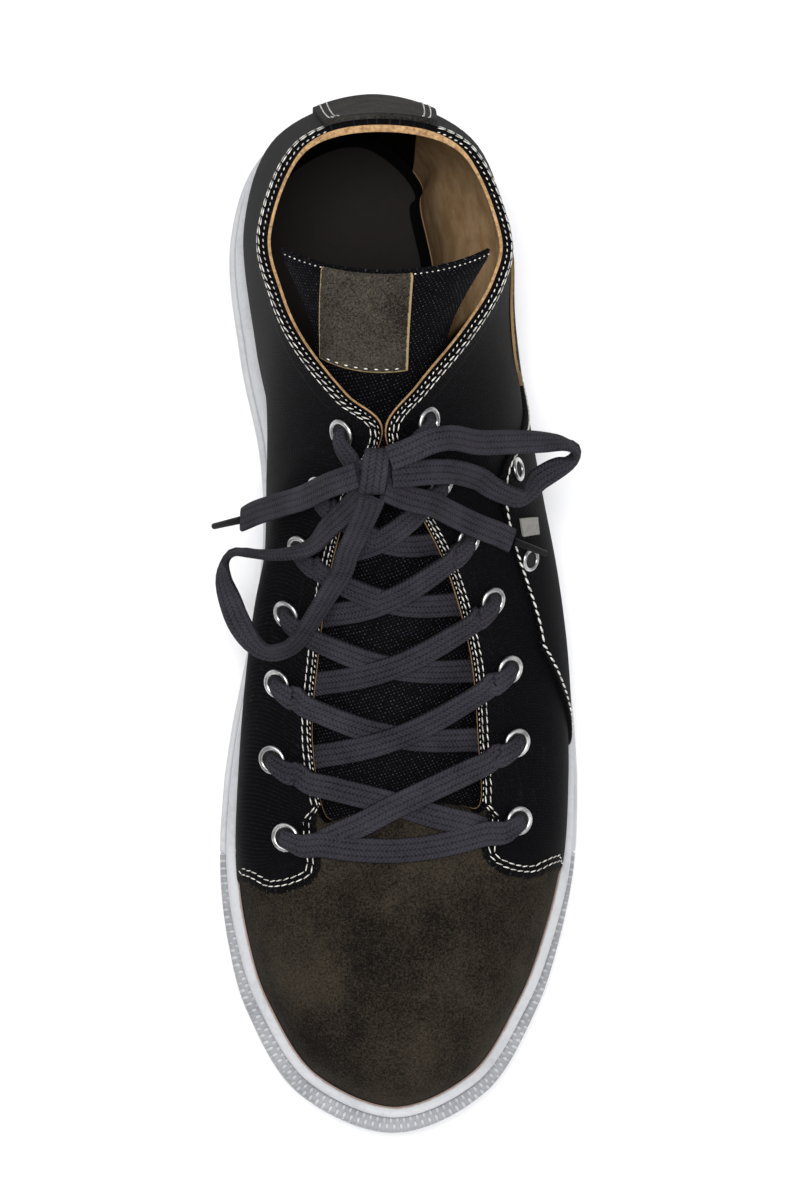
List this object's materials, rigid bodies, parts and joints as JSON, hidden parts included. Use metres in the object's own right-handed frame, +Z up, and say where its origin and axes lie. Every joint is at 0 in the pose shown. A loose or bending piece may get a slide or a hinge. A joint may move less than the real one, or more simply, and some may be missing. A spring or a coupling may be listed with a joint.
{
  "type": "high top sneaker",
  "caption": "Left high top lace-up sneaker with canvas quarters, suede toe and a light rubber cup sole with a toe bumper.",
  "frame": {"origin": "on the floor, under the middle of the shoe's box without the bow", "axes": "+Z up, -Y towards the toe, +X towards the outer side of a left shoe"},
  "size_m": [0.1068, 0.299, 0.1589],
  "materials": {
    "rubber": "satin light grey rubber",
    "tread": "matt grey rubber",
    "insole": "dark footbed",
    "canvas": "waxed black canvas",
    "suede": "dark olive brown suede",
    "metal": "antique silver",
    "lace": "flat charcoal braid",
    "aglet": "satin black plastic",
    "tab": "light grey woven tape"
  },
  "bodies": {
    "root": {"outsole": "tread", "foxing": "rubber", "toe_bumper": "rubber", "insole": "insole", "upper": "canvas", "tongue": "canvas", "tongue_label": "suede", "heel_strip": "suede", "rear_panel": "canvas", "ankle_patch": "suede", "side_tab": "tab", "eyelet_outer_1": "metal", "eyelet_outer_2": "metal", "eyelet_outer_3": "metal", "eyelet_outer_4": "metal", "eyelet_outer_5": "metal", "eyelet_outer_6": "metal", "eyelet_outer_7": "metal", "eyelet_inner_1": "metal", "eyelet_inner_2": "metal", "eyelet_inner_3": "metal", "eyelet_inner_4": "metal", "eyelet_inner_5": "metal", "eyelet_inner_6": "metal", "eyelet_inner_7": "metal", "vent_1": "metal", "vent_2": "metal", "lace_bar_1": "lace", "lace_cross_2": "lace", "lace_cross_3": "lace", "lace_cross_4": "lace", "lace_cross_5": "lace", "lace_cross_6": "lace", "lace_row_7": "lace", "lace_knot": "lace", "lace_end_inner": "lace", "lace_end_outer": "lace", "lace_loop_inner": "lace", "lace_loop_outer": "lace", "aglet_inner": "aglet", "aglet_outer": "aglet"}
  },
  "joints": []
}
